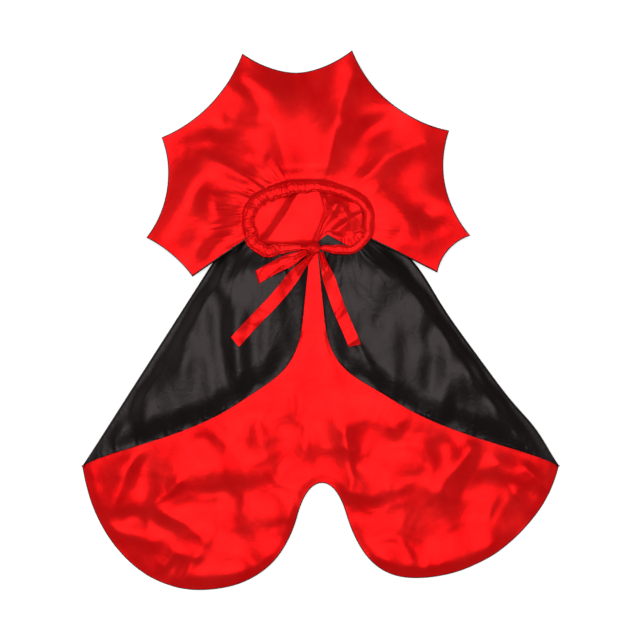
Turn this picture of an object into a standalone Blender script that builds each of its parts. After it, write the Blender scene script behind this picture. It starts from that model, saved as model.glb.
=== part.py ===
"""A small animal's dress-up cape in satin, laid flat with its front up, as a Blender model.

The cape is two cloths sewn together, a black shell and a red lining. Its sides are folded over, so
that both fronts lie on the back. A pointed stand-up collar of three layers fans out round the neck,
and a ribbon tie runs in a gathered casing and is tied in a half bow. Each front edge turns back, the
collar turns up, and the ends and the loop of the tie lift.

Plan sizes are millimetres from the centre of the neck, with +Y towards the centre back of the collar
and +Z up from the table. The model itself is in metres, centred on the floor under its own outline.
"""

import math

import bmesh
import bpy
from mathutils import Matrix, Vector

MM = 0.001

# Cloth
CLOTH = 1.0  # thickness of each cloth as a solid
LAYER_GAP = 0.3  # between two cloths that lie on each other
POCKET = 1.0  # between the back and the fronts that lie on it
SEAM_GAP = 0.4  # from a crease line to each of the panels that meet there

# Neck and its casing
NECK_HALF_WIDTH = 56.5
NECK_BACK = 28.0  # from the neck's centre to the middle of the casing at the centre back
NECK_FRONT = 29.5
CASING_WIDTH = 11.0
CASING_HEIGHT = 6.6
CASING_WALL = 0.8

# Collar: bearing of each tip, anticlockwise from +X in degrees, and its reach from the neck's centre
COLLAR_TIPS = (
    (207.3, 124.1),
    (187.4, 155.2),
    (151.7, 158.6),
    (112.2, 166.2),
    (75.4, 162.0),
    (31.6, 156.1),
    (-6.7, 154.1),
    (-23.6, 132.7),
)
SCALLOPS = (3.5, 12.5, 11.0, 18.0, 15.0, 13.5, 6.5)  # depth of the edge between two tips
COLLAR_OVERLAP = 12.0  # how far the collar's front ends run on past the sides of the neck
WING_START = 18.0  # from the centre back to where each wing begins beside the casing

# Cape body
HEM_WIDTH = 453.0  # between the two hem corners
HEM_CENTRE = 11.0  # how far the middle of the hem lies to the right of the neck
SIDE_DROP = 237.0  # from the neck's centre to the hem corners
LEFT_LOBE = (-103.5, -354.4)  # lowest point of each lobe of the hem
RIGHT_LOBE = (100.7, -343.0)
NOTCH_TOP = (12.4, -252.7)
NOTCH_WIDTH = 45.0  # of the notch between the lobes, at NOTCH_DEPTH below its top
NOTCH_DEPTH = 28.0
SHOULDER = 64.0  # from the neck's centre out to the top of each side fold
FRONT_DROP = 60.0  # how far each front edge hangs nearly straight below the knot
FRONT_SPREAD = 10.0  # between the two front edges at the foot of that stretch, each side
FRONT_BULGE = (33.0, 31.0)  # how far the left and right front edges bow out below it
HINGE_HEIGHT = 9.0  # of the creases that the front edges turn back about

# Tie
TIE_WIDTH = 11.5
TIE_CLOTH = 1.2
KNOT = (4.5, -29.5)
KNOT_SIZE = (13.0, 12.0, 7.0)
KNOT_PINCH = 4.0  # width of the ribbon where it comes out of the knot
TIE_GATHERED = 3.4  # width of the ribbon inside the casing, where it is bunched up
CREASE_STARTS = ((-9.0, -9.0), (10.0, -5.0))  # from the knot to where each front edge's crease starts
CREASE_END = 9.0  # from the hem corner to where each crease ends
TIE_FLARE = 42.0  # length over which an end opens from the pinch to its full width
LEFT_END = ((-2.4, -7.2), (-0.660, -0.751), 109.0)  # start from the knot, direction and length
RIGHT_END = ((6.9, -4.1), (0.336, -0.942), 94.0)
LOOP_ROOT = (-6.2, -4.9)  # from the knot
LOOP_DIRECTION = (-0.87, -0.493)
LOOP_LENGTH = 50.0
LOOP_FLARE = 20.0  # length over which the loop opens from the pinch to the ribbon's full width
LOOP_HEIGHT = 4.0
CASING_ENDS = (28.0, 20.0)  # from the knot to the left and right ends of the casing

ARC_STEPS = 9  # points on each curved stretch of an outline
RING_STEPS = 48

# Heights above the table, each from the one below it
BACK_SHELL_Z = 0.0
BACK_LINING_Z = BACK_SHELL_Z + CLOTH + LAYER_GAP
FRONT_LINING_Z = BACK_LINING_Z + CLOTH + POCKET
FRONT_SHELL_Z = FRONT_LINING_Z + CLOTH + LAYER_GAP
FRONT_TOP = FRONT_SHELL_Z + CLOTH
COLLAR_OUTER_Z = FRONT_TOP + LAYER_GAP
COLLAR_STIFFENER_Z = COLLAR_OUTER_Z + CLOTH + LAYER_GAP
COLLAR_INNER_Z = COLLAR_STIFFENER_Z + CLOTH + LAYER_GAP
COLLAR_TOP = COLLAR_INNER_Z + CLOTH
CASING_Z = FRONT_TOP + LAYER_GAP + CASING_HEIGHT / 2
TIE_Z = FRONT_TOP + LAYER_GAP
LOOP_Z = TIE_Z + TIE_CLOTH + LAYER_GAP

SATIN_RED = (0.72, 0.006, 0.010)
SATIN_BLACK = (0.012, 0.010, 0.011)
STIFFENER_WHITE = (0.78, 0.78, 0.75)


# Plan geometry, in millimetres

def between(p, q, share):
    """The point that share of the way from p to q."""
    return (p[0] + (q[0] - p[0]) * share, p[1] + (q[1] - p[1]) * share)


def unit(p, q):
    """The direction from p to q."""
    length = math.dist(p, q)
    return ((q[0] - p[0]) / length, (q[1] - p[1]) / length)


def moved(p, direction, distance):
    return (p[0] + direction[0] * distance, p[1] + direction[1] * distance)


def left_of(direction):
    """The direction a quarter turn to the left."""
    return (-direction[1], direction[0])


def polar(bearing, reach):
    turn = math.radians(bearing)
    return (reach * math.cos(turn), reach * math.sin(turn))


def bezier(start, leave, arrive, end, steps=ARC_STEPS):
    """Points along a cubic curve, without its last one."""
    points = []
    for i in range(steps):
        t = i / steps
        s = 1 - t
        shares = (s**3, 3 * s * s * t, 3 * s * t * t, t**3)
        corners = (start, leave, arrive, end)
        points.append(tuple(sum(w * c[k] for w, c in zip(shares, corners)) for k in (0, 1)))
    return points


def hem_corners():
    return (
        (HEM_CENTRE - HEM_WIDTH / 2, -SIDE_DROP),
        (HEM_CENTRE + HEM_WIDTH / 2, -SIDE_DROP),
    )


def shoulders():
    return ((-SHOULDER, 0.0), (SHOULDER, 0.0))


def hem():
    """The hem from the left corner round both lobes to the right corner."""
    left, right = hem_corners()
    left_wall = (NOTCH_TOP[0] - NOTCH_WIDTH / 2, NOTCH_TOP[1] - NOTCH_DEPTH)
    right_wall = (NOTCH_TOP[0] + NOTCH_WIDTH / 2, NOTCH_TOP[1] - NOTCH_DEPTH)
    points = []
    drop = left[1] - LEFT_LOBE[1]
    width = LEFT_LOBE[0] - left[0]
    points += bezier(left, (left[0] + 0.09 * width, left[1] - 0.54 * drop),
                     (LEFT_LOBE[0] - 0.55 * width, LEFT_LOBE[1]), LEFT_LOBE)
    rise = left_wall[1] - LEFT_LOBE[1]
    width = left_wall[0] - LEFT_LOBE[0]
    points += bezier(LEFT_LOBE, (LEFT_LOBE[0] + 0.52 * width, LEFT_LOBE[1]),
                     (left_wall[0] - 0.13 * width, left_wall[1] - 0.66 * rise), left_wall)
    top = 0.4 * NOTCH_WIDTH / 2
    points += bezier(left_wall, (left_wall[0] + 0.25 * NOTCH_WIDTH / 2, NOTCH_TOP[1] - 0.35 * NOTCH_DEPTH),
                     (NOTCH_TOP[0] - top, NOTCH_TOP[1]), NOTCH_TOP)
    points += bezier(NOTCH_TOP, (NOTCH_TOP[0] + top, NOTCH_TOP[1]),
                     (right_wall[0] - 0.25 * NOTCH_WIDTH / 2, NOTCH_TOP[1] - 0.35 * NOTCH_DEPTH), right_wall)
    rise = right_wall[1] - RIGHT_LOBE[1]
    width = RIGHT_LOBE[0] - right_wall[0]
    points += bezier(right_wall, (right_wall[0] + 0.17 * width, right_wall[1] - 0.6 * rise),
                     (RIGHT_LOBE[0] - 0.56 * width, RIGHT_LOBE[1]), RIGHT_LOBE)
    drop = right[1] - RIGHT_LOBE[1]
    width = right[0] - RIGHT_LOBE[0]
    points += bezier(RIGHT_LOBE, (RIGHT_LOBE[0] + 0.5 * width, RIGHT_LOBE[1]),
                     (right[0] - 0.09 * width, right[1] - 0.5 * drop), right)
    return points + [right]


def front_edge(side):
    """A front edge from below the knot to the hem corner. Side 0 is the left one."""
    sign = (-1, 1)[side]
    corner = hem_corners()[side]
    top = (KNOT[0] + sign * KNOT_PINCH, KNOT[1] - KNOT_SIZE[1] / 2)
    foot = (KNOT[0] + sign * FRONT_SPREAD, top[1] - FRONT_DROP)
    along = unit(foot, corner)
    out = left_of(along) if side == 0 else left_of((-along[0], -along[1]))
    bow = moved(between(foot, corner, 0.38), out, FRONT_BULGE[side])
    reach = math.dist(foot, corner)
    points = bezier(top, between(top, foot, 0.3), between(top, foot, 0.7), foot, 3)
    points += bezier(foot, moved(foot, unit(top, foot), 0.2 * reach),
                     moved(bow, along, -0.17 * reach), bow)
    points += bezier(bow, moved(bow, along, 0.25 * reach), moved(corner, along, -0.12 * reach), corner)
    return points + [corner]


def crease(side):
    """The line that a front edge turns back about, from beside the knot to the hem corner."""
    corner = hem_corners()[side]
    start = (KNOT[0] + CREASE_STARTS[side][0], KNOT[1] + CREASE_STARTS[side][1])
    return start, moved(corner, unit(corner, start), CREASE_END)


def neck(turn):
    """A point on the middle line of the casing. It is half an ellipse behind and squarer in front."""
    c, s = math.cos(turn), math.sin(turn)
    squareness, depth = (2.0, NECK_BACK) if s >= 0 else (4.0, NECK_FRONT)
    x = math.copysign(abs(c) ** (2 / squareness), c) * NECK_HALF_WIDTH
    y = math.copysign(abs(s) ** (2 / squareness), s) * depth
    return (x, y)


def beside_neck(turn, outwards):
    """The point that far outside the middle line of the casing, or inside it if less than zero."""
    tangent = unit(neck(turn - 0.02), neck(turn + 0.02))
    return moved(neck(turn), left_of(tangent), -outwards)


def collar_turn_y():
    """Where the collar turns up: a straight line just behind the casing."""
    return NECK_BACK + CASING_WIDTH / 2 + 2 * SEAM_GAP + LAYER_GAP


def collar_edge():
    """The scalloped outer edge, from the left front tip round the back to the right front tip."""
    tips = [polar(bearing, reach) for bearing, reach in COLLAR_TIPS]
    points = []
    for start, end, depth in zip(tips, tips[1:], SCALLOPS):
        inwards = left_of(unit(end, start))
        sag = [moved(between(start, end, share), inwards, depth * 4 / 3) for share in (0.3, 0.7)]
        points += bezier(start, *sag, end, ARC_STEPS - 2)
    return points + [tips[-1]]


def collar_outline():
    """The whole collar: its outer edge, then back along the outside of the casing."""
    outside = CASING_WIDTH / 2 + SEAM_GAP + LAYER_GAP
    front = math.asin(min(1.0, COLLAR_OVERLAP / NECK_FRONT))
    first, last = -front, math.pi + front
    steps = 2 * ARC_STEPS
    inner = [beside_neck(first + (last - first) * i / steps, outside) for i in range(steps + 1)]
    return collar_edge() + inner


def clipped(outline, normal, limit):
    """The part of an outline where normal . point is at most limit."""
    def beyond(p):
        return normal[0] * p[0] + normal[1] * p[1] - limit

    kept = []
    for p, q in zip(outline, outline[1:] + outline[:1]):
        a, b = beyond(p), beyond(q)
        if a <= 0:
            kept.append(p)
        if (a <= 0) != (b <= 0):
            kept.append(between(p, q, a / (a - b)))
    return kept


def ribbon_end(root, along, length):
    """The outline of one end of the tie: pinched at the knot, cut off square at the far end."""
    across = left_of(along)
    sides = []
    for distance, width in ((0, KNOT_PINCH), (TIE_FLARE, TIE_WIDTH), (length, TIE_WIDTH)):
        middle = moved(root, along, distance)
        sides.append((moved(middle, across, width / 2), moved(middle, across, -width / 2)))
    return [a for a, _ in sides] + [b for _, b in reversed(sides)]


# Building

def clear_scene():
    for obj in list(bpy.data.objects):
        bpy.data.objects.remove(obj)


def collection(name):
    made = bpy.data.collections.new(name)
    bpy.context.scene.collection.children.link(made)
    return made


def cloth_material(name, colour, roughness):
    made = bpy.data.materials.new(name)
    made.use_nodes = True
    shader = made.node_tree.nodes["Principled BSDF"]
    shader.inputs["Base Color"].default_value = (*colour, 1)
    shader.inputs["Roughness"].default_value = roughness
    shader.inputs["Metallic"].default_value = 0.0
    return made


class Builder:
    """Adds named objects under the cape's own frame, or under a hinge's empty."""

    def __init__(self, parts, cutters, origin):
        self.parts = parts
        self.cutters = cutters
        self.frame = bpy.data.objects.new("cape_frame", None)
        self.frame.location = Vector((-origin[0], -origin[1], 0)) * MM
        parts.objects.link(self.frame)
        self.red = cloth_material("red_satin", SATIN_RED, 0.4)
        self.black = cloth_material("black_satin", SATIN_BLACK, 0.4)
        self.white = cloth_material("collar_stiffener", STIFFENER_WHITE, 0.9)

    def hinge(self, name, place, height, parent=None):
        """An empty on a joint's axis. What moves with the joint is parented to it."""
        empty = bpy.data.objects.new(name, None)
        empty.parent = parent or self.frame
        base = Vector(parent["place"]) if parent else Vector((0, 0, 0))
        empty["place"] = (*place, height)
        empty.location = (Vector((*place, height)) - base) * MM
        self.parts.objects.link(empty)
        return empty

    def keep(self, obj, material, parent=None, place=(0, 0, 0)):
        """Parents an object, whose place is in garment millimetres, and gives it its material."""
        base = Vector(parent["place"]) if parent else Vector((0, 0, 0))
        obj.parent = parent or self.frame
        obj.location = (Vector(place) - base) * MM
        obj.data.materials.clear()
        obj.data.materials.append(material)
        for user in list(obj.users_collection):
            user.objects.unlink(obj)
        self.parts.objects.link(obj)
        return obj

    def flat(self, name, outline, bottom, material, parent=None, thickness=CLOTH):
        """A flat panel: a filled 2D curve with an extrusion of half its thickness."""
        base = Vector(parent["place"]) if parent else Vector((0, 0, 0))
        curve = bpy.data.curves.new(name, "CURVE")
        curve.dimensions = "2D"
        curve.fill_mode = "BOTH"
        curve.extrude = thickness / 2 * MM
        spline = curve.splines.new("POLY")
        spline.points.add(len(outline) - 1)
        for point, (x, y) in zip(spline.points, outline):
            point.co = ((x - base.x) * MM, (y - base.y) * MM, 0, 1)
        spline.use_cyclic_u = True
        obj = bpy.data.objects.new(name, curve)
        return self.keep(obj, material, parent, (base.x, base.y, bottom + thickness / 2))

    def tube(self, name, path, radius, material, flatten, height, sides=2):
        """A tube along a level path, flattened to a share of its height."""
        curve = bpy.data.curves.new(name, "CURVE")
        curve.dimensions = "3D"
        curve.bevel_depth = radius * MM
        curve.bevel_resolution = sides
        spline = curve.splines.new("POLY")
        spline.points.add(len(path) - 1)
        for point, (x, y) in zip(spline.points, path):
            point.co = (x * MM, y * MM, 0, 1)
        obj = bpy.data.objects.new(name, curve)
        self.parts.objects.link(obj)
        mesh_obj = as_mesh(obj)
        mesh_obj.data.transform(Matrix.Scale(flatten, 4, (0, 0, 1)))
        return self.keep(mesh_obj, material, place=(0, 0, height))


def as_mesh(obj):
    """A curve object made a mesh, with its caps welded to its sides."""
    name = obj.name
    bpy.context.view_layer.update()
    mesh = bpy.data.meshes.new_from_object(obj.evaluated_get(bpy.context.evaluated_depsgraph_get()))
    cage = bmesh.new()
    cage.from_mesh(mesh)
    bmesh.ops.remove_doubles(cage, verts=cage.verts, dist=1e-6)
    bmesh.ops.recalc_face_normals(cage, faces=cage.faces)
    cage.to_mesh(mesh)
    cage.free()
    made = bpy.data.objects.new(name, mesh)
    made.matrix_world = obj.matrix_world.copy()
    made.parent = obj.parent
    made.location = obj.location
    for user in obj.users_collection:
        user.objects.link(made)
    bpy.data.objects.remove(obj)
    made.name = name
    return made


def close_tube_ends(obj):
    cage = bmesh.new()
    cage.from_mesh(obj.data)
    bmesh.ops.holes_fill(cage, edges=[e for e in cage.edges if e.is_boundary])
    bmesh.ops.recalc_face_normals(cage, faces=cage.faces)
    cage.to_mesh(obj.data)
    cage.free()


def plan_bounds():
    """Lowest and highest corner of everything that lies in the plan."""
    points = hem() + collar_edge()
    xs = [p[0] for p in points]
    ys = [p[1] for p in points]
    return (min(xs), min(ys)), (max(xs), max(ys))


def side_inset(outline, side, distance):
    """An outline cut back from a side fold by that distance."""
    shoulder = shoulders()[side]
    corner = hem_corners()[side]
    out = left_of(unit(shoulder, corner)) if side == 1 else left_of(unit(corner, shoulder))
    limit = out[0] * corner[0] + out[1] * corner[1] - distance
    return clipped(outline, out, limit)


FOLD_RADIUS = (FRONT_SHELL_Z + CLOTH / 2) / 2


def back_panels(b):
    """The back's shell and lining, from the neck to the lobed hem. The side folds start beside them."""
    left, right = shoulders()
    neck_line = NECK_BACK - CASING_WIDTH / 2
    outline = hem() + [right, (right[0] - CASING_WIDTH, neck_line), (left[0] + CASING_WIDTH, neck_line), left]
    for name, bottom, material, inset in (
        ("back_shell", BACK_SHELL_Z, b.black, 2 * FOLD_RADIUS + LAYER_GAP),
        ("back_lining", BACK_LINING_Z, b.red, 2 * FOLD_RADIUS + LAYER_GAP + CLOTH),
    ):
        panel = side_inset(side_inset(outline, 0, inset), 1, inset)
        b.flat(name, panel, bottom, material)


def fold_roll(b, side):
    """The rolled side fold, a rod from the shoulder to the hem corner that joins the front's shell."""
    shoulder = shoulders()[side]
    corner = hem_corners()[side]
    along = unit(shoulder, corner)
    inwards = left_of(along) if side == 0 else left_of((-along[0], -along[1]))
    ends = [moved(moved(p, inwards, FOLD_RADIUS), along, step * 2 * FOLD_RADIUS)
            for p, step in ((shoulder, 1), (corner, -1))]
    length = math.dist(*ends)
    bpy.ops.mesh.primitive_cylinder_add(vertices=16, radius=FOLD_RADIUS * MM, depth=length * MM)
    rod = bpy.context.object
    turn = math.atan2(along[1], along[0])
    rod.data.transform(Matrix.Rotation(turn, 4, "Z") @ Matrix.Rotation(math.pi / 2, 4, "Y"))
    middle = between(*ends, 0.5)
    b.keep(rod, b.black, place=(*middle, FOLD_RADIUS + LAYER_GAP / 6))
    b.parts.objects.unlink(rod)
    b.cutters.objects.link(rod)
    rod.name = ("left", "right")[side] + "_fold_roll"
    rod.hide_render = True
    rod.display_type = "WIRE"
    return rod


def front_panel(b, side):
    """The part of a front that stays on the back: from the side fold to the crease beside its edge."""
    name = ("left", "right")[side] + "_front"
    start, end = crease(side)
    shoulder, corner = shoulders()[side], hem_corners()[side]
    neck_edge = -(NECK_FRONT - CASING_WIDTH / 2)
    outline = [corner, end, start, (KNOT[0] + (-1, 1)[side] * KNOT_PINCH, start[1])]
    outline += [(outline[-1][0], neck_edge), (0.8 * shoulder[0], neck_edge), shoulder]
    along = unit(start, end)
    away = left_of(along) if side == 0 else left_of((-along[0], -along[1]))
    limit = away[0] * start[0] + away[1] * start[1] - SEAM_GAP
    outline = clipped(outline, away, limit)
    if side == 0:
        outline.reverse()
    shell = b.flat(name + "_shell", side_inset(outline, side, FOLD_RADIUS), FRONT_SHELL_Z, b.black)
    shell = as_mesh(shell)
    join = shell.modifiers.new("side_fold", "BOOLEAN")
    join.operation = "UNION"
    join.object = fold_roll(b, side)
    b.flat(name + "_lining", side_inset(outline, side, 2 * FOLD_RADIUS + LAYER_GAP), FRONT_LINING_Z, b.red)


def turn_back(b, side):
    """The front edge that turns back about its crease, both its cloths on one hinge."""
    name = ("left", "right")[side]
    start, end = crease(side)
    hinge = b.hinge(name + "_crease", start, HINGE_HEIGHT)
    along = unit(start, end)
    away = left_of(along) if side == 0 else left_of((-along[0], -along[1]))
    limit = -(away[0] * start[0] + away[1] * start[1]) - SEAM_GAP
    outline = clipped(front_edge(side), (-away[0], -away[1]), limit)
    top = -(start[1] - 2 * SEAM_GAP)
    outline = side_inset(clipped(outline, (0, 1), -top), side, 2 * FOLD_RADIUS + LAYER_GAP)
    for cloth, bottom, material in (
        ("shell", FRONT_SHELL_Z, b.black),
        ("lining", FRONT_LINING_Z, b.red),
    ):
        b.flat(f"{name}_edge_{cloth}", outline, bottom, material, hinge)
    return hinge


def collar(b):
    """Three layers: the part behind the neck, which turns up, and a wing at each side that stays."""
    turn_y = collar_turn_y()
    hinge = b.hinge("collar_crease", (0, turn_y), COLLAR_TOP + LAYER_GAP)
    outline = collar_outline()
    back = clipped(outline, (0, -1), -(turn_y + SEAM_GAP))
    wings = {}
    for side, sign in (("left", 1), ("right", -1)):
        half = clipped(outline, (sign, 0), -WING_START)
        wings[side] = clipped(half, (0, 1), turn_y - SEAM_GAP)
    for layer, bottom, material in (
        ("outer", COLLAR_OUTER_Z, b.black),
        ("stiffener", COLLAR_STIFFENER_Z, b.white),
        ("inner", COLLAR_INNER_Z, b.red),
    ):
        b.flat(f"collar_back_{layer}", back, bottom, material, hinge)
        for side, wing in wings.items():
            b.flat(f"collar_{side}_{layer}", wing, bottom, material)


def ring_path():
    """The casing's middle line from the knot round the left of the neck and back to the knot."""
    fine = 20 * RING_STEPS
    start = -math.pi / 2
    loop = [neck(start - math.tau * i / fine) for i in range(fine + 1)]
    along = [0.0]
    for p, q in zip(loop, loop[1:]):
        along.append(along[-1] + math.dist(p, q))
    return loop, along


def ring_stretch(first, last):
    """Evenly spaced points on the middle line, from first to last millimetres along it."""
    loop, along = ring_path()
    points, at = [], 0
    for i in range(RING_STEPS + 1):
        wanted = first + (last - first) * i / RING_STEPS
        while at < len(along) - 2 and along[at + 1] < wanted:
            at += 1
        share = (wanted - along[at]) / (along[at + 1] - along[at])
        points.append(between(loop[at], loop[at + 1], share))
    return points


def neck_casing(b):
    """The gathered casing, a flattened hollow tube that is open at both ends, and the tie inside it."""
    length = ring_path()[1][-1]
    left, right = CASING_ENDS
    casing = b.tube("neck_casing", ring_stretch(left - KNOT[0], length - right - KNOT[0]),
                    CASING_WIDTH / 2, b.red, CASING_HEIGHT / CASING_WIDTH, CASING_Z)
    wall = casing.modifiers.new("wall", "SOLIDIFY")
    wall.thickness = CASING_WALL * MM
    wall.offset = -1
    reach = KNOT_SIZE[0] / 2 + LAYER_GAP
    tie = b.tube("tie_in_casing", ring_stretch(reach - KNOT[0], length - reach - KNOT[0]),
                 TIE_GATHERED / 2, b.red, 2 * TIE_CLOTH / TIE_GATHERED, CASING_Z)
    close_tube_ends(tie)


def neck_facing(b):
    """The right front's facing, crumpled inside the neck: a soft pad between the back and the casing."""
    inner = -(CASING_WIDTH / 2 + LAYER_GAP)
    arc = [beside_neck(math.radians(turn), inner) for turn in (-38, -15, 5, 25, 45)]
    outline = arc + [(16.0, 8.0), (10.0, -14.0)]
    bottom = BACK_LINING_Z + CLOTH + LAYER_GAP
    pad = as_mesh(b.flat("neck_facing", outline, bottom, b.red, thickness=CASING_Z - bottom))
    soft = pad.modifiers.new("soft_edges", "BEVEL")
    soft.width = 1.5 * MM
    soft.segments = 2


def knot(b):
    size = Vector(KNOT_SIZE)
    bpy.ops.mesh.primitive_uv_sphere_add(segments=20, ring_count=12, radius=0.5 * MM)
    ball = bpy.context.object
    ball.name = "tie_knot"
    ball.data.transform(Matrix.Diagonal((*size, 1)))
    b.keep(ball, b.red, place=(*KNOT, TIE_Z + size.z / 2))


def tie_loop(b):
    """The loop of the half bow: a flat band that goes out from the knot and back over itself."""
    start = (KNOT[0] + LOOP_ROOT[0], KNOT[1] + LOOP_ROOT[1])
    hinge = b.hinge("loop_root", start, LOOP_Z + LOOP_HEIGHT / 2)
    curve = bpy.data.curves.new("tie_loop", "CURVE")
    curve.dimensions = "2D"
    curve.fill_mode = "BOTH"
    curve.extrude = TIE_WIDTH / 2 * MM
    for inset in (0.0, TIE_CLOTH):
        half = LOOP_HEIGHT / 2 - inset
        centre = LOOP_LENGTH - LOOP_HEIGHT / 2
        middle = LOOP_HEIGHT / 2
        turns = [math.pi * (i / ARC_STEPS - 0.5) for i in range(ARC_STEPS + 1)]
        profile = [(centre + half * math.cos(t), middle + half * math.sin(t)) for t in turns]
        profile += [(x, middle + half) for x in (LOOP_FLARE, inset)]
        profile += [(x, middle - half) for x in (inset, LOOP_FLARE)]
        spline = curve.splines.new("POLY")
        spline.points.add(len(profile) - 1)
        for point, (x, z) in zip(spline.points, profile):
            point.co = (x * MM, z * MM, 0, 1)
        spline.use_cyclic_u = True
    obj = bpy.data.objects.new("tie_loop", curve)
    b.parts.objects.link(obj)
    obj = as_mesh(obj)
    for vertex in obj.data.vertices:
        if vertex.co.x < 2 * TIE_CLOTH * MM:
            vertex.co.z *= KNOT_PINCH / TIE_WIDTH
    b.keep(obj, b.red, hinge, (*start, LOOP_Z))
    turn = math.atan2(LOOP_DIRECTION[1], LOOP_DIRECTION[0])
    obj.rotation_euler = (math.pi / 2, 0, turn)


def tie_end(b, name, offset, along, length, crease_hinge):
    """One end of the tie. It lies on a front edge, lifts about its root and goes with that edge."""
    root = (KNOT[0] + offset[0], KNOT[1] + offset[1])
    hinge = b.hinge(name + "_root", root, TIE_Z + TIE_CLOTH / 2, crease_hinge)
    b.flat(name, ribbon_end(root, along, length), TIE_Z, b.red, hinge, thickness=TIE_CLOTH)


def main():
    clear_scene()
    low, high = plan_bounds()
    b = Builder(collection("satin_cape"), collection("helpers"), between(low, high, 0.5))
    back_panels(b)
    creases = []
    for side in (0, 1):
        front_panel(b, side)
        creases.append(turn_back(b, side))
    collar(b)
    neck_casing(b)
    neck_facing(b)
    knot(b)
    tie_loop(b)
    tie_end(b, "tie_left_end", *LEFT_END, creases[0])
    tie_end(b, "tie_right_end", *RIGHT_END, creases[1])


main()
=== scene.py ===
import math

import bpy
import numpy as np
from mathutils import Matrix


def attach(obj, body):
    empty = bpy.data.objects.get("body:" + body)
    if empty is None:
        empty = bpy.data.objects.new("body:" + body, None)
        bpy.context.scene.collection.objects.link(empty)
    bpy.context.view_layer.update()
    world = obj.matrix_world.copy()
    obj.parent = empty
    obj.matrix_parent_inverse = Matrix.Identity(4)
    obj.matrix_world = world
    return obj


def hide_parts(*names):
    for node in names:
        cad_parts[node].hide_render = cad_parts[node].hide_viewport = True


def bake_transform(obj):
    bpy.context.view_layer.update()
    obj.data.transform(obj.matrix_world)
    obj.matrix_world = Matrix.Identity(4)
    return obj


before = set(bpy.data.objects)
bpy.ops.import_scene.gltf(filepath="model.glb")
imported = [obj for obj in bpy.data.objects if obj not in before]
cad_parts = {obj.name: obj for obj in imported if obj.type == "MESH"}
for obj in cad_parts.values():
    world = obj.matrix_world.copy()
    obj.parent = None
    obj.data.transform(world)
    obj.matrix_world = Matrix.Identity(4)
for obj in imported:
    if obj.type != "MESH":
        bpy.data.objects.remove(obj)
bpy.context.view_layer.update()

# Plan sizes are millimetres from the centre of the neck, and this is where that lies in the frame.
neckInFrame = np.array((-11.0, 98.816, 0.0))
neck = {"halfWidth": 56.5, "behind": 28.0, "inFront": 29.5}    # half sizes of the casing's middle line


def cubic(start, leave, arrive, end, count=40):
    # (1-t)^3 start + 3(1-t)^2 t leave + 3(1-t) t^2 arrive + t^3 end
    t = np.linspace(0, 1, count)[:, None]
    s = 1 - t
    a, b, c, d = (np.array(p, float) for p in (start, leave, arrive, end))
    return s**3 * a + 3 * s * s * t * b + 3 * s * t * t * c + t**3 * d


def chain(*curves):
    # Curves end to end, each joint kept once
    return np.concatenate([curves[0]] + [c[1:] for c in curves[1:]])


def lengthAlong(line):
    # Running length at each point of a line
    return np.concatenate(([0.0], np.cumsum(np.linalg.norm(np.diff(line, axis=0), axis=1))))


def atShares(line, shares):
    # Points at those shares of a line's length, straight between its own points
    run = lengthAlong(line)
    wanted = np.asarray(shares) * run[-1]
    return np.stack([np.interp(wanted, run, line[:, k]) for k in range(line.shape[1])], axis=1)


def shares(count, rim=0.0):
    # Even shares from 0 to 1, with one more beside each end, so that a cloth's border stays crisp
    even = np.linspace(0, 1, count)
    return np.concatenate(([0, rim], even[1:-1], [1 - rim, 1])) if rim else even


def tangents(line):
    # Unit steps along a line
    step = np.gradient(line, axis=0)
    return step / np.linalg.norm(step, axis=1, keepdims=True)


def leftNormals(line):
    # Unit normals on the left of a line: its tangent turned a quarter turn
    tangent = np.gradient(line, axis=0)
    tangent /= np.maximum(np.linalg.norm(tangent, axis=1), 1e-9)[:, None]
    return np.stack([-tangent[:, 1], tangent[:, 0]], axis=1)


def patch(top, bottom, left, right, across, down):
    # The sheet that fits four edges: what top and bottom give, plus what left and right give,
    # less what their four corners give
    u, v = across[None, :, None], down[:, None, None]
    byRows = top[None] * (1 - v) + bottom[None] * v
    byColumns = left[:, None] * (1 - u) + right[:, None] * u
    corners = (top[0] * (1 - u) + top[-1] * u) * (1 - v) + (bottom[0] * (1 - u) + bottom[-1] * u) * v
    return byRows + byColumns - corners


def areaOf(outline):
    # Half the sum of the cross products round an outline, in square metres
    x, y = outline[:, 0], outline[:, 1]
    return abs(np.dot(x, np.roll(y, -1)) - np.dot(y, np.roll(x, -1))) / 2e6


def border(points):
    # Round a grid's four edges
    return np.concatenate([points[0], points[1:, -1], points[-1, -2::-1], points[-2:0:-1, 0]])


def foldAlong(x, y, line, rise, left, right, crest=1.5, fade=0.4):
    # rise * exp(-(distance / width)^1.3), with its own width on each side, weaker towards the end of the line
    line = np.array(line, float)
    best = np.full(x.shape, 1e9)
    side, run = np.zeros(x.shape), np.zeros(x.shape)
    gone = lengthAlong(line)
    for start, end, before in zip(line, line[1:], gone):
        step = end - start
        length = math.hypot(*step)
        dx, dy = step / length
        t = np.clip((x - start[0]) * dx + (y - start[1]) * dy, 0, length)
        apart = np.hypot(x - start[0] - t * dx, y - start[1] - t * dy)
        turn = (dx * (y - start[1]) - dy * (x - start[0])) / np.maximum(apart, 1e-6)
        nearer = apart < best
        best = np.where(nearer, apart, best)
        side = np.where(nearer, turn, side)
        run = np.where(nearer, before + t, run)
    width = right + (left - right) * (0.5 + 0.5 * np.clip(side, -1, 1))
    soft = np.sqrt(best**2 + crest**2) - crest
    return rise * (1 + (fade - 1) * run / gone[-1]) * np.exp(-((soft / width) ** 1.3))


def dent(x, y, place, radii, turn, depth):
    # -depth * exp(-r^2) over an ellipse that is turned by that many degrees
    c, s = math.cos(math.radians(turn)), math.sin(math.radians(turn))
    dx, dy = x - place[0], y - place[1]
    return -depth * np.exp(-(((dx * c + dy * s) / radii[0]) ** 2) - ((dy * c - dx * s) / radii[1]) ** 2)


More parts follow.
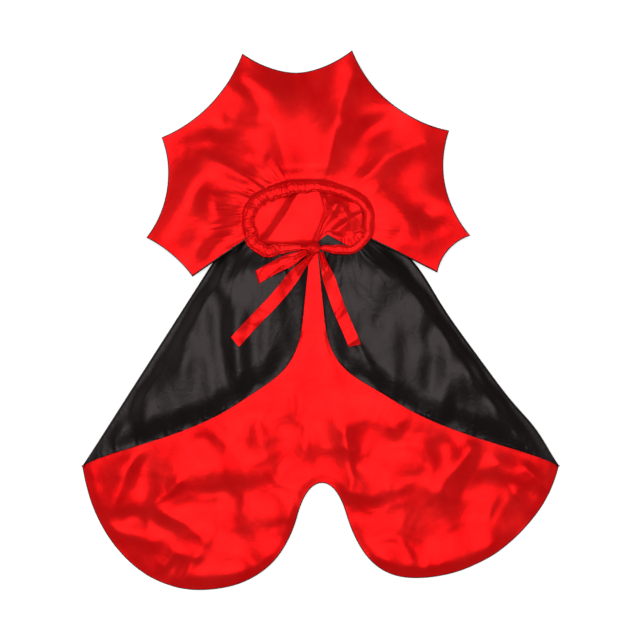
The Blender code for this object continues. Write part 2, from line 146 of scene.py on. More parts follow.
def drift(x, y, seed, size, count=12):
    # A sum of long waves of random direction, from about -1 to 1
    rng = np.random.default_rng(seed)
    total = np.zeros(np.shape(x))
    turns = rng.uniform(0, math.tau, count)
    lengths = rng.uniform(0.7, 1.8, count)
    phases = rng.uniform(0, math.tau, count)
    for turn, length, phase in zip(turns, lengths, phases):
        total += np.sin((x * math.cos(turn) + y * math.sin(turn)) * math.tau / (size * length) + phase)
    return total / math.sqrt(count)


def crumple(x, y, seed, size, count=5):
    # Waves with sharp crests, 1 - sqrt(sin^2 + 0.02), over a plane that is itself pushed about
    bentX = x + 0.4 * size * drift(x, y, seed + 100, 1.8 * size)
    bentY = y + 0.4 * size * drift(x, y, seed + 200, 1.8 * size)
    rng = np.random.default_rng(seed)
    total = np.zeros(np.shape(x))
    turns = rng.uniform(0, math.pi, count)
    lengths = rng.uniform(0.8, 1.7, count)
    phases = rng.uniform(0, math.pi, count)
    for turn, length, phase in zip(turns, lengths, phases):
        wave = np.sin((bentX * math.cos(turn) + bentY * math.sin(turn)) * math.pi / (size * length) + phase)
        total += 1 - np.sqrt(wave * wave + 0.02)
    return total / count


def ease(t):
    # 3t^2 - 2t^3 between 0 and 1
    t = np.clip(t, 0, 1)
    return t * t * (3 - 2 * t)


def higher(a, b, soft=0.8):
    # The larger of two heights, rounded where they cross
    return (a + b + np.sqrt((a - b) ** 2 + soft * soft)) / 2


def gridMesh(name, points, flat=None, ring=False):
    # Quads between neighbours of a grid of points, from millimetres to the frame's metres.
    # A ring joins its last column to its first.
    rows, columns = points.shape[:2]
    place = (points.reshape(-1, 3) + neckInFrame) * 0.001
    index = np.arange(rows * columns).reshape(rows, columns)
    if ring:
        index = np.concatenate([index, index[:, :1]], axis=1)
    quads = np.stack([index[:-1, :-1], index[1:, :-1], index[1:, 1:], index[:-1, 1:]], axis=-1).reshape(-1, 4)
    mesh = bpy.data.meshes.new(name)
    mesh.vertices.add(len(place))
    mesh.vertices.foreach_set("co", place.astype(np.float32).ravel())
    mesh.loops.add(quads.size)
    mesh.loops.foreach_set("vertex_index", quads.astype(np.int32).ravel())
    mesh.polygons.add(len(quads))
    mesh.polygons.foreach_set("loop_start", np.arange(0, quads.size, 4, dtype=np.int32))
    mesh.polygons.foreach_set("use_smooth", np.ones(len(quads), bool))
    mesh.update(calc_edges=True)
    if flat is None:
        flat = points[..., :2]
    layer = mesh.uv_layers.new(name="cloth")
    layer.data.foreach_set("uv", (flat.reshape(-1, 2)[quads.ravel()] * 0.001).astype(np.float32).ravel())
    mesh.validate()
    obj = bpy.data.objects.new(name, mesh)
    bpy.context.scene.collection.objects.link(obj)
    return obj


def finishPiece(obj, material, nodes, thickness=0.0):
    # Material, cloth thickness and what it stands for
    obj.data.materials.append(material)
    if thickness:
        wall = obj.modifiers.new("clothThickness", "SOLIDIFY")
        wall.thickness = thickness * 0.001
        wall.offset = -1
    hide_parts(*nodes)


def raised(plan, height):
    # A flat grid of places, given a height at each
    return np.concatenate([plan, height[..., None]], axis=-1)


class Value:
    # Wraps a node's output, so that sums and products of it make Math nodes
    def __init__(self, shade, socket):
        self.shade, self.socket = shade, socket

    def work(self, operation, first, second=None, clamp=False):
        node = self.shade.tree.nodes.new("ShaderNodeMath")
        node.operation, node.use_clamp = operation, clamp
        for place, given in enumerate((first, second)):
            if isinstance(given, Value):
                self.shade.tree.links.new(given.socket, node.inputs[place])
            elif given is not None:
                node.inputs[place].default_value = given
        return Value(self.shade, node.outputs[0])

    def __add__(self, other): return self.work("ADD", self, other)
    def __radd__(self, other): return self.work("ADD", other, self)
    def __sub__(self, other): return self.work("SUBTRACT", self, other)
    def __mul__(self, other): return self.work("MULTIPLY", self, other)
    def within(self): return self.work("ADD", self, 0.0, clamp=True)


class Shade:
    # One material, with its shader and the methods that add nodes to it
    def __init__(self, name, constants):
        self.material = bpy.data.materials.new(name)
        self.material.use_nodes = True
        self.tree = self.material.node_tree
        self.shader = self.tree.nodes["Principled BSDF"]
        for socket, number in constants.items():
            self.shader.inputs[socket].default_value = number

    def node(self, kind, settings=None, values=None, out=0):
        made = self.tree.nodes.new(kind)
        for key, setting in (settings or {}).items():
            setattr(made, key, setting)
        for key, given in (values or {}).items():
            if isinstance(given, Value):
                self.tree.links.new(given.socket, made.inputs[key])
            else:
                made.inputs[key].default_value = given
        return Value(self, made.outputs[out])

    def mixed(self, factor, first, second):
        # Two colours by a factor, which go in at the Mix node's sockets 6 and 7
        given = {6: first, 7: second}
        made = self.tree.nodes.new("ShaderNodeMix")
        made.data_type = "RGBA"
        self.tree.links.new(factor.socket, made.inputs[0])
        for place, colour in given.items():
            if isinstance(colour, Value):
                self.tree.links.new(colour.socket, made.inputs[place])
            else:
                made.inputs[place].default_value = (*colour, 1)
        return Value(self, made.outputs[2])

    def noise(self, place, scale, detail, roughness=0.5, distortion=0.0):
        # Soft noise about 0.5
        return self.node("ShaderNodeTexNoise", {}, {
            "Vector": place, "Scale": scale, "Detail": detail, "Roughness": roughness, "Distortion": distortion,
        })

    def relief(self, height, strength, distance):
        # Small bumps of that height, their distance in metres
        given = {"Height": height, "Strength": strength, "Distance": distance}
        self.feed("Normal", self.node("ShaderNodeBump", {}, given))

    def feed(self, socket, value):
        self.tree.links.new(value.socket, self.shader.inputs[socket])


def satin(name, look):
    # Satin: long floats of thread on one slant, small rumples, patches that are a little rougher and deeper
    shade = Shade(name, {
        "Specular IOR Level": look["specular"],
        "Specular Tint": (*look["specularTint"], 1), "Metallic": look["lustre"],
    })
    along = shade.node("ShaderNodeUVMap", {"uv_map": "cloth"})
    place = shade.node("ShaderNodeTexCoord", out="Object")
    patches = shade.noise(place, 34.0, 3.0, 0.55)
    rumples = shade.noise(place, 95.0, 3.0, 0.5, 0.6)
    slubs = shade.noise(along, 900.0, 2.0, 0.6)
    floats = shade.node("ShaderNodeTexWave", {"bands_direction": "DIAGONAL"}, {
        "Vector": along, "Scale": look["threadScale"], "Distortion": 1.4, "Detail": 1.0, "Detail Scale": 2.0,
    })
    depth = ((patches - 0.5) * 1.6 + 0.5 + (slubs - 0.5) * 0.35).within()
    shade.feed("Base Color", shade.mixed(depth, look["deep"], look["bright"]))
    rough = look["roughness"] + (patches - 0.5) * look["roughnessSpread"]
    shade.feed("Roughness", rough + (slubs - 0.5) * 0.06)
    shade.relief(rumples * look["rumple"] + floats * 0.03 + slubs * 0.05, look["bumpStrength"], 0.001)
    return shade.material


redLook = {
    "bright": (0.94, 0.013, 0.013), "deep": (0.84, 0.003, 0.005), "roughness": 0.33, "roughnessSpread": 0.10,
    "lustre": 0.42, "specular": 0.05, "specularTint": (1.0, 0.5, 0.45), "threadScale": 420.0,
    "rumple": 0.6, "bumpStrength": 0.40,
}
blackLook = {
    "bright": (0.0070, 0.0038, 0.0040), "deep": (0.0018, 0.0012, 0.0012),
    "roughness": 0.33, "roughnessSpread": 0.12, "lustre": 0.0,
    "specular": 0.23, "specularTint": (1.0, 0.84, 0.84), "threadScale": 420.0, "rumple": 0.8, "bumpStrength": 0.45,
}


def interlining(name):
    # Pressed white fibres: fine short noise over a soft one
    shade = Shade(name, {"Specular IOR Level": 0.2, "Sheen Weight": 0.1})
    place = shade.node("ShaderNodeTexCoord", out="Object")
    fibres = shade.noise(place, 1400.0, 4.0, 0.7, 2.0)
    clouds = shade.noise(place, 120.0, 3.0)
    paleness = (fibres * 0.7 + clouds * 0.3).within()
    shade.feed("Base Color", shade.mixed(paleness, (0.66, 0.66, 0.63), (0.84, 0.84, 0.81)))
    shade.feed("Roughness", 0.8 + (fibres - 0.5) * 0.2)
    shade.relief(fibres, 0.5, 0.0002)
    return shade.material


redSatin = satin("redSatinLining", redLook)
blackSatin = satin("blackSatinShell", blackLook)
whiteInterlining = interlining("whiteInterlining")
print("materials ready")


body = {
    "hemCorners": ((-215.5, -237.0), (237.5, -237.0)), "shoulder": 64.0,
    "leftLobe": (-103.5, -354.4), "rightLobe": (100.7, -343.0),
    "notchTop": (12.4, -252.7), "notchHalfWidth": 22.5, "notchDepth": 28.0,
    "frontDrop": 60.0, "frontSpread": 10.0, "frontBulge": (33.0, 31.0),
    "knot": (4.5, -29.5), "knotPinch": 4.0, "knotHalfDepth": 6.0,
    "foldRadius": 2.5, "edgeShows": 0.9,
}


def hemLine():
    # Six cubic curves: down and round each lobe, and up and over the notch
    (leftX, leftY), (rightX, rightY) = body["hemCorners"]
    (aX, aY), (bX, bY), (nX, nY) = body["leftLobe"], body["rightLobe"], body["notchTop"]
    half, deep = body["notchHalfWidth"], body["notchDepth"]
    wallL, wallR, wallY = nX - half, nX + half, nY - deep
    w1, w2, w3, w4 = aX - leftX, wallL - aX, bX - wallR, rightX - bX
    return chain(
        cubic((leftX, leftY), (leftX + 0.09 * w1, leftY - 0.54 * (leftY - aY)),
              (aX - 0.55 * w1, aY), (aX, aY)),
        cubic((aX, aY), (aX + 0.52 * w2, aY),
              (wallL - 0.13 * w2, wallY - 0.66 * (wallY - aY)), (wallL, wallY)),
        cubic((wallL, wallY), (wallL + 0.25 * half, nY - 0.35 * deep), (nX - 0.4 * half, nY), (nX, nY)),
        cubic((nX, nY), (nX + 0.4 * half, nY), (wallR - 0.25 * half, nY - 0.35 * deep), (wallR, wallY)),
        cubic((wallR, wallY), (wallR + 0.17 * w3, wallY - 0.6 * (wallY - bY)),
              (bX - 0.56 * w3, bY), (bX, bY)),
        cubic((bX, bY), (bX + 0.5 * w4, bY),
              (rightX - 0.09 * w4, rightY - 0.5 * (rightY - bY)), (rightX, rightY)),
    )


def frontEdgeLine(side):
    # Nearly straight down from the knot, then one long bow out to the hem corner
    sign = (-1, 1)[side]
    corner = np.array(body["hemCorners"][side])
    knot = np.array(body["knot"])
    top = knot + (sign * body["knotPinch"], -body["knotHalfDepth"])
    foot = np.array((knot[0] + sign * body["frontSpread"], top[1] - body["frontDrop"]))
    reach = np.linalg.norm(corner - foot)
    along = (corner - foot) / reach
    out = np.array((-along[1], along[0])) * (1, -1)[side]
    bow = foot + 0.38 * (corner - foot) + out * body["frontBulge"][side]
    down = (foot - top) / np.linalg.norm(foot - top)
    return chain(
        cubic(top, top + 0.3 * (foot - top), top + 0.7 * (foot - top), foot, 12),
        cubic(foot, foot + 0.2 * reach * down, bow - 0.17 * reach * along, bow),
        cubic(bow, bow + 0.25 * reach * along, corner - 0.12 * reach * along, corner),
    )


def sideLine(side, down):
    # The side fold: straight on the left, with a slight swell near both ends on the right
    start = np.array(((-1, 1)[side] * body["shoulder"], 0.0))
    end = np.array(body["hemCorners"][side])
    t = np.asarray(down)[:, None]
    line = start + (end - start) * t
    if side == 1:
        out = np.array((end - start)[::-1]) * (-1, 1)
        out = out / np.linalg.norm(out)
        nearHem = 3.6 * np.exp(-(((t - 0.86) / 0.10) ** 2))
        nearNeck = 4.0 * np.exp(-(((t - 0.22) / 0.12) ** 2))
        line = line + out * (nearHem + nearNeck)
    return line


hem = hemLine()
frontEdges = [frontEdgeLine(0), frontEdgeLine(1)]


def frontEdgeY(x):
    # How far down the front edges cover the back, at each x
    both = np.concatenate([frontEdges[0][::-1], frontEdges[1]])
    return np.interp(x, both[:, 0], both[:, 1])


backFolds = {
    # line, rise, width on its left, width on its right, crest, fade
    "lobes": (
        (((-166, -223), (-175, -245), (-187, -274)), 5.0, 10, 16, 2.5, 0.6),
        (((-124, -252), (-151, -277)), 2.6, 5, 7, 1.2, 0.7),
        (((-137, -281), (-118, -290), (-99, -305)), 3.0, 6, 8, 1.5, 0.6),
        (((-181, -297), (-147, -307)), 3.0, 10, 8, 2.0, 0.6),
        (((-137, -331), (-128, -319), (-107, -322)), 2.4, 6, 5, 1.5, 0.7),
        (((-124, -348), (-107, -322)), 2.4, 4, 5, 1.0, 0.5),
        (((-109, -340), (-70, -337), (-33, -328)), 3.6, 17, 9, 3.0, 0.8),
        (((-15, -279), (-22, -300), (-30, -321)), 3.0, 8, 12, 3.0, 0.8),
        (((-112, -246), (-75, -254), (-40, -248)), 2.2, 30, 30, 9.0, 0.9),
        (((154, -218), (140, -238), (125, -260)), 4.0, 8, 11, 2.0, 0.7),
        (((44, -246), (70, -252), (100, -246)), 1.8, 26, 26, 8.0, 0.9),
        (((56, -322), (110, -330), (168, -318)), 3.8, 22, 10, 4.0, 0.9),
        (((196, -262), (214, -280)), 2.0, 6, 7, 1.5, 0.8),
        (((38, -262), (62, -266)), 1.6, 5, 6, 1.5, 0.8),
        (((-14, -112), (20, -111)), 0.7, 3, 30, 0.8, 1.0),
        (((206, -238), (228, -260)), 2.6, 4, 6, 1.0, 0.6),
        (((178, -236), (214, -256), (222, -275)), 2.4, 9, 8, 2.0, 0.7),
        (((34, -205), (41, -252)), 2.0, 5, 9, 1.5, 0.8),
        (((80, -200), (98, -238)), 2.2, 9, 8, 2.5, 0.5),
        (((-48, -200), (-40, -238)), 2.0, 8, 8, 2.0, 0.5),
    ),
    "dents": (
        ((-103, -213), (12, 13), 60, 2.2), ((-64, -217), (8, 10), -30, 1.5), ((-18, -205), (13, 19), -20, 2.4),
        ((128, -222), (13, 15), 25, 2.8), ((-154, -238), (15, 24), -30, 2.6),
        ((-165, -285), (12, 8), 30, 2.0), ((84, -216), (12, 10), 10, 1.6), ((44, -236), (13, 10), 0, 1.8),
        ((-66, -262), (30, 16), 5, 1.8), ((140, -262), (36, 14), 5, 1.8),
    ),
    "neck": (
        (((-9, 24), (-21, 4), (-37, -19)), 3.4, 30, 3.4, 1.0, 1.0),
        (((9, 24), (14, 6), (2, -20)), 2.6, 6, 18, 1.4, 0.9),
    ),
    "floor": 2.0, "neckRise": 5.0, "shellBelow": 1.0,
    "base": 2.4, "loose": 0.9, "looseSize": 46.0, "small": 0.9, "smallSize": 24.0,
}


def hemDistance(x, y):
    # To the nearest of the hem's samples, for the places near it
    gap = np.full(x.shape, 99.0)
    low = y < -160
    line = atShares(hem, np.linspace(0, 1, 260))
    dx, dy = x[low][:, None] - line[:, 0], y[low][:, None] - line[:, 1]
    gap[low] = np.sqrt((dx**2 + dy**2).min(axis=1))
    return gap


def backHeight(x, y):
    # Flat under the fronts, folds and ripples below their edges, two folds inside the neck, raised behind it
    shown = ease((frontEdgeY(x) - y) / 24 + 0.25) * ease((-y - 20) / 60)
    below = ease((-y - 95) / 110)
    height = np.zeros(np.shape(x))
    for line, rise, left, right, crest, fade in backFolds["lobes"]:
        height += foldAlong(x, y, line, rise, left, right, crest, fade)
    for place, radii, turn, depth in backFolds["dents"]:
        height += dent(x, y, place, radii, turn, depth)
    height += backFolds["loose"] * below * drift(x, y, 5, backFolds["looseSize"])
    height += backFolds["small"] * below * crumple(x, y, 8, backFolds["smallSize"])
    base = backFolds["base"] * ease((-y - 60) / 130)
    height = higher(base + height * shown, np.zeros_like(height), 1.2) - 0.6
    height = height * (0.8 + 0.2 * ease(hemDistance(x, y) / 10))
    inside = ease((y + 34) / 12) * ease((62 - np.abs(x)) / 14)
    for line, rise, left, right, crest, fade in backFolds["neck"]:
        height += inside * foldAlong(x, y, line, rise, left, right, crest, fade)
    upToCasing = ease((np.hypot(x / neck["halfWidth"], y / neck["behind"]) - 0.90) / 0.14) * ease((y - 2) / 10)
    uneven = 0.25 * inside * (1 + drift(x, y, 4, 20.0))
    return backFolds["floor"] + height + backFolds["neckRise"] * upToCasing + uneven


def backPlan(columns, rows, inset, sideInset):
    # Top to hem, side fold to side fold. The hem and sides are moved inwards by their insets.
    across, down = shares(columns, 0.001), shares(rows, 0.001)
    bottom = atShares(hem, across)
    bottom = bottom + leftNormals(bottom) * inset
    sides = []
    for side in (0, 1):
        line = sideLine(side, down)
        sides.append(line + leftNormals(line) * (1, -1)[side] * sideInset)
    shoulder = body["shoulder"] - sideInset
    neckEdge = ((-shoulder, 0.0), (-52.0, 24.0), (-20.0, 31.0), (20.0, 31.0), (52.0, 24.0), (shoulder, 0.0))
    top = atShares(np.array(neckEdge), across)
    top[0], top[-1] = sides[0][0], sides[1][0]
    bottom[0], bottom[-1] = sides[0][-1], sides[1][-1]
    return patch(top, bottom, sides[0], sides[1], across, down)


def makeBack():
    # The lining lies above the shell, which shows round the hem as a thin dark line
    plan = backPlan(250, 158, body["edgeShows"], 3.0)
    lining = gridMesh("backLining", raised(plan, backHeight(plan[..., 0], plan[..., 1])))
    finishPiece(lining, redSatin, ["back_lining"], 0.3)
    shellPlan = backPlan(200, 120, 0.0, 2.4)
    shellHeight = backHeight(shellPlan[..., 0], shellPlan[..., 1]) - backFolds["shellBelow"]
    shell = gridMesh("backShell", raised(shellPlan, shellHeight))
    finishPiece(shell, blackSatin, ["back_shell"], 0.3)
    for piece, outline, below in ((lining, border(plan), "backShell"), (shell, border(shellPlan), "floor")):
        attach(piece, "cape")


fronts = {
    "folds": (
        (
            (((-62, -50), (-89, -72), (-122, -136)), 2.6, 13, 11, 4.0, 0.5),
            (((-40, -55), (-73, -107), (-90, -176)), 2.4, 12, 15, 4.0, 0.5),
            (((-24, -60), (-40, -100), (-46, -150)), 1.8, 9, 9, 3.0, 0.4),
            (((-110, -130), (-140, -170), (-165, -205)), 1.6, 12, 9, 4.0, 0.5),
            (((-78, -38), (-86, -62)), 1.6, 6, 7, 2.0, 0.4),
        ),
        (
            (((70, -50), (115, -82), (182, -194)), 2.8, 11, 14, 4.0, 0.7),
            (((40, -50), (78, -110), (110, -165)), 2.0, 16, 18, 5.0, 0.6),
            (((24, -60), (36, -104), (40, -140)), 1.2, 8, 9, 3.0, 0.4),
            (((150, -150), (190, -205), (222, -232)), 1.6, 8, 12, 3.0, 0.8),
            (((47, -122), (52, -131), (58, -140)), -1.4, 3, 4, 1.0, 0.8),
        ),
    ),
    "dents": (
        (((-78, -52), (7, 15), 0, 1.5), ((-120, -98), (9, 14), -30, 1.2)),
        (((65, -100), (6, 10), 0, 1.0), ((112, -112), (6, 10), 0, 1.1), ((140, -112), (9, 25), 35, 1.2)),
    ),
    "above": 2.1, "gather": 1.4, "pucker": 2.4, "soft": 1.1, "puff": 4.2,
    "liningBelow": 0.8, "underside": 0.2, "turnedUnder": 9.0,
}


def edgeDistance(x, y, side):
    # Distance to the front edge and how far along it, taken at each point's nearest sample
    line = atShares(frontEdges[side], np.linspace(0, 1, 160))
    run = np.linspace(0, lengthAlong(frontEdges[side])[-1], 160)
    gaps = np.hypot(x.reshape(-1, 1) - line[:, 0], y.reshape(-1, 1) - line[:, 1])
    nearest = gaps.argmin(axis=1)
    return gaps[np.arange(len(nearest)), nearest].reshape(x.shape), run[nearest].reshape(x.shape)


def frontHeight(x, y, side):
    # Above the back, with folds from the neck, gathers that die away from it, a swell between the fold
    # and the edge, and small puckers along the sewn edge
    height = np.zeros(np.shape(x))
    for line, rise, left, right, crest, fade in fronts["folds"][side]:
        height += foldAlong(x, y, line, rise, left, right, crest, fade)
    for place, radii, turn, depth in fronts["dents"][side]:
        height += dent(x, y, place, radii, turn, depth)
    fromNeck = np.hypot((x - (-30, 34)[side]), y + 20)
    turn = np.arctan2(y + 5, x - (-30, 34)[side])
    height += fronts["gather"] * crumple(turn * 60, fromNeck * 0.25, 21 + side, 9.0) * np.exp(-fromNeck / 60)
    height += fronts["soft"] * drift(x * 1.3, y * 0.6, 31 + side, 42.0)
    gap, run = edgeDistance(x, y, side)
    inFold = foldDistance(x, y, side)
    swell = fronts["puff"] * (1 - np.exp(-np.maximum(inFold, 0) / 15))
    height += swell * ease(gap / 26 + 0.1) * ease((-y - 12) / 50)
    away = np.exp(-((gap / 11.0) ** 1.5)) * ease((run - 90) / 60) * ease((gap + 0.2) / 1.6)
    height += fronts["pucker"] * (crumple(run + 0.3 * gap, 0.12 * gap, 41 + side, 8.5) - 0.35) * away
    fold = ease(inFold / 16)
    height = higher(height * fold, np.zeros_like(height), 0.6) - 0.3
    return backHeight(x, y) + fronts["above"] + 0.4 + np.maximum(height, -0.3) * ease(gap / 3 + 0.45)


def foldDistance(x, y, side):
    # How far inside the straight line of the side fold
    start = np.array(((-1, 1)[side] * body["shoulder"], 0.0))
    end = np.array(body["hemCorners"][side])
    along = (end - start) / np.linalg.norm(end - start)
    return ((x - start[0]) * -along[1] + (y - start[1]) * along[0]) * (1, -1)[side]


def frontTop(side, across):
    # Along the front of the casing, from the shoulder to the knot.
    # The right one comes up inside the neck beside the knot.
    if side == 0:
        line = ((-64, 0), (-59, -18), (-47, -31), (-20, -31), (0.5, -35.5))
    else:
        line = ((64, 0), (58, -14), (46, -20), (30, -17), (16, -14), (9.5, -24), (8.5, -35.5))
    return atShares(np.array(line, float), across)


def makeFront(side):
    # The shell goes round the side fold and a little way under the back. The lining lies below it.
    name = ("left", "right")[side]
    across, down = shares(104, 0.004), np.append(shares(206, 0.001)[:-1], 0.9985)
    radius = body["foldRadius"] * (0.04 + 0.96 * ease((1 - down) * 8))[:, None]
    line = sideLine(side, down)
    inwards = leftNormals(line) * (1, -1)[side]
    edge = atShares(frontEdges[side], down)
    corner = atShares(np.array([line[-1] + inwards[-1] * radius[-1], edge[-1]]), across)
    plan = patch(frontTop(side, across), corner, line + inwards * radius, edge, across, down)
    height = frontHeight(plan[..., 0], plan[..., 1], side)
    sheet = raised(plan, height)

    low = fronts["underside"]
    crown = (height[:, 0] - low) / 2
    turns = np.radians(np.linspace(-90, 90, 13)[:-1])
    roll = line[:, None, :] + inwards[:, None, :] * (radius * (1 - np.cos(turns)))[..., None]
    rollHeight = low + crown[:, None] * (1 + np.sin(turns))
    lipSteps = np.linspace(fronts["turnedUnder"], 0, 4)[:-1]
    lip = line[:, None, :] + inwards[:, None, :] * (radius + lipSteps * radius / body["foldRadius"])[..., None]
    lipHeight = np.full(lip.shape[:2], low)
    whole = np.concatenate([raised(lip, lipHeight), raised(roll, rollHeight), sheet], axis=1)
    steps = np.linalg.norm(np.diff(whole, axis=1), axis=2)
    girth = np.concatenate([np.zeros((len(whole), 1)), np.cumsum(steps, axis=1)], axis=1)
    flat = np.stack([girth, np.broadcast_to(-lengthAlong(line)[:, None], girth.shape)], axis=-1)
    if side == 1:
        whole, flat = whole[:, ::-1], flat[:, ::-1]
    shell = gridMesh(name + "FrontShell", whole, flat)
    finishPiece(shell, blackSatin, [name + "_front_shell", name + "_edge_shell"], 0.35)

    under = patch(frontTop(side, across), corner, line + inwards * (radius + 1.0),
                  edge + leftNormals(edge) * (-1, 1)[side] * body["edgeShows"], across, down)
    lining = raised(under, frontHeight(under[..., 0], under[..., 1], side) - fronts["liningBelow"])
    if side == 1:
        lining = lining[:, ::-1]
    lining = gridMesh(name + "FrontLining", lining)
    finishPiece(lining, redSatin, [name + "_front_lining", name + "_edge_lining"], 0.3)

    area = areaOf(border(sheet[..., :2]))
    # What goes round the fold and under
    turned = lengthAlong(line)[-1] * (fronts["turnedUnder"] + math.pi * body["foldRadius"]) / 1e6
    for piece, below, area in ((shell, name + "FrontLining", area + turned), (lining, "backLining", area)):
        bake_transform(piece)


collar = {
    # bearing in degrees and distance from the centre of the neck
    "tips": (
        (207.3, 124.1), (187.4, 155.2), (151.7, 158.6), (112.2, 166.2),
        (75.4, 162.0), (31.6, 156.1), (-6.7, 154.1), (-23.6, 132.7),
    ),
    "scallops": (3.5, 12.5, 11.0, 18.0, 15.0, 13.5, 6.5),
    "floor": 9.0,
    "folds": (
        (((-16, 26), (-31, 86), (-42, 100), (-66, 126)), 4.4, 15, 24, 1.0, 0.5),
        (((12, 24), (21, 73), (31, 110), (42, 136)), 4.4, 34, 12, 1.0, 0.8),
        (((44, 28), (58, 40), (75, 56), (108, 71)), 4.4, 10, 14, 1.0, 0.45),
        (((-47, 24), (-59, 34), (-85, 50), (-110, 60)), 4.4, 14, 10, 1.0, 0.45),
        (((-57, 20), (-83, 11)), 2.4, 4, 4, 0.8, 0.3),
        (((-57, 15), (-71, 3)), 2.2, 4, 4, 0.8, 0.3),
        (((-50, 20), (-83, 26)), 2.0, 4, 5, 0.8, 0.3),
        (((52, 18), (66, 27)), 2.0, 4, 4, 0.8, 0.3),
        (((-62, -8), (-92, -34)), 3.4, 12, 10, 3.0, 0.9),
        (((-104, 32), (-122, 6), (-134, -16)), 4.6, 15, 20, 5.0, 0.9),
        (((62, 14), (78, 8), (92, -4)), 3.4, 12, 14, 4.0, 0.9),
        (((88, -22), (106, -25), (127, -12)), 2.8, 11, 14, 4.5, 0.9),
        (((34, 88), (72, 104), (96, 100)), 3.4, 15, 12, 4.0, 0.8),
        (((-74, 94), (-50, 92)), 2.6, 9, 9, 3.0, 0.9),
        (((-96, 74), (-122, 66)), 2.4, 9, 9, 3.0, 0.9),
        (((-54, 58), (-40, 54)), 2.0, 8, 8, 2.0, 0.9),
        (((-62, 126), (-38, 118)), 2.6, 12, 12, 4.0, 0.9),
    ),
    "dents": (
        ((-14, 152), (19, 46), 8, 7.5), ((40, 168), (22, 56), -12, -5.0), ((-60, 166), (24, 44), 24, -4.0),
        ((112, 3), (15, 11), -20, 3.4), ((-92, 10), (13, 28), 25, 3.2), ((142, 46), (44, 26), 10, 6.0),
        ((-80, 88), (26, 14), 30, 3.4), ((62, 84), (26, 14), 30, 3.4), ((-116, 62), (26, 18), 0, 3.6),
        ((-70, 122), (18, 9), -38, 2.4), ((-46, 56), (14, 10), 0, 2.0), ((-104, -28), (12, 12), 0, 2.4),
    ),
    "loose": 0.7, "gather": 2.4, "droop": 0.8, "swell": 1.8, "lowest": -6.6,
    "frontTurn": 24.0, "rootOut": 3.6, "rootHeight": 9.2,
}


def neckPoint(turn, outwards=0.0):
    # The casing's middle line: x = halfWidth cos^(2/n), y = depth sin^(2/n), with n = 2 behind and 4 in front,
    # then moved along its normal
    def at(angle):
        c, s = np.cos(angle), np.sin(angle)
        power = np.where(s >= 0, 2.0, 4.0)
        depth = np.where(s >= 0, neck["behind"], neck["inFront"])
        x = np.sign(c) * np.abs(c) ** (2 / power) * neck["halfWidth"]
        y = np.sign(s) * np.abs(s) ** (2 / power) * depth
        return np.stack([x, y], axis=-1)
    step = at(turn + 0.02) - at(turn - 0.02)
    step = step / np.linalg.norm(step, axis=-1, keepdims=True)
    return at(turn) + np.stack([step[..., 1], -step[..., 0]], axis=-1) * np.asarray(outwards)[..., None]


def collarEdge(columnsEach=44):
    # From tip to tip, each stretch a cubic curve that sags towards the neck
    bearings = [(math.radians(bearing), far) for bearing, far in collar["tips"]]
    tips = np.array([(far * math.cos(turn), far * math.sin(turn)) for turn, far in bearings])
    stretches = []
    for start, end, depth in zip(tips, tips[1:], collar["scallops"]):
        chord = (end - start) / np.linalg.norm(end - start)
        sag = np.array((chord[1], -chord[0])) * depth * 4 / 3
        leave, arrive = start + 0.3 * (end - start) + sag, start + 0.7 * (end - start) + sag
        stretches.append(cubic(start, leave, arrive, end, columnsEach))
    return chain(*stretches)


def frontReach(x, y):
    # How far inside the nearer side fold
    return np.where(x < body["knot"][0], foldDistance(x, y, 0), foldDistance(x, y, 1))


def collarHeight(x, y):
    # Radiating folds and dents over a level sheet, gathers beside the casing, tips that droop a little,
    # never below the fronts
    fromRing = (np.hypot(x / 62, y / 34) - 1) * 45
    grown = 0.30 + 0.70 * ease(fromRing / 22)
    height = collar["loose"] * drift(x, y, 61, 60.0)
    for line, rise, left, right, crest, fade in collar["folds"]:
        height = height + foldAlong(x, y, line, rise, left, right, crest, fade)
    for place, radii, turn, depth in collar["dents"]:
        height = height + dent(x, y, place, radii, turn, depth)
    turn = np.arctan2(y * 1.8, np.abs(x))
    gathers = crumple(turn * 46 + np.sign(x) * 90 * ease(np.abs(x) / 8), fromRing * 0.12, 71, 5.6)
    # Drawn up most on the left of the neck
    leftward = 0.3 + 0.7 * ease(0.35 - 0.8 * x / np.maximum(np.hypot(x, 1.8 * y), 1))
    drawn = leftward * collar["gather"] * (gathers - 0.3) * np.exp(-np.maximum(fromRing, 0) / 14)
    height = height * grown + drawn * ease((fromRing + 3) / 7)
    height = height + collar["swell"] * leftward * np.exp(-((fromRing / 8) ** 2))
    height = 0.4 + height - collar["droop"] * ease((np.hypot(x, y) - 96) / 72) * ease((y + 40) / 60)
    height = collar["floor"] + higher(height, np.full_like(height, collar["lowest"]), 1.0)
    covered = ease((10 - y) / 20) * ease((frontReach(x, y) + 4) / 8)
    under = np.where(x < body["knot"][0], frontHeight(x, y, 0), frontHeight(x, y, 1)) + 1.7
    return np.where(covered > 0, height + covered * (higher(height, under, 0.8) - height), height)


